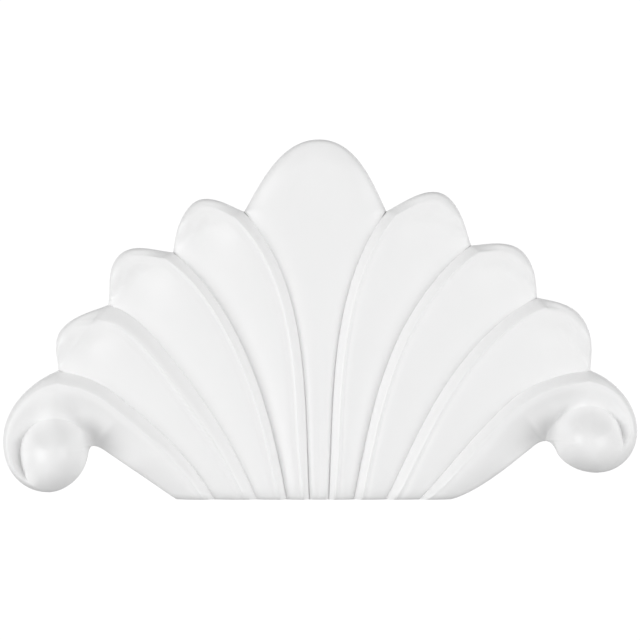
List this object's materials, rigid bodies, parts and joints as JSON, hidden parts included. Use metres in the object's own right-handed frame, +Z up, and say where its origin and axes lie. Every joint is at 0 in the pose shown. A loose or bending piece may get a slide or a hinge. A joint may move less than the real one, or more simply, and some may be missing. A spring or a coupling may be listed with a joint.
{
  "type": "door pediment ornament",
  "caption": "Fan of overlapping fluted leaves between two arms that curl into scrolls with round eyes, flat behind and cut flat along the foot, for fixing over a door.",
  "frame": {"origin": "on the flat back face, on the middle line between the two scrolls, half way up", "axes": "+X to the viewer's right along the door head, +Y into the wall, +Z up, carving facing -Y"},
  "size_m": [0.2998, 0.033, 0.1704],
  "materials": {
    "satin_white": "smooth satin white primer on moulded rigid foam"
  },
  "bodies": {
    "root": {"pediment_ornament": "satin_white"}
  },
  "joints": []
}
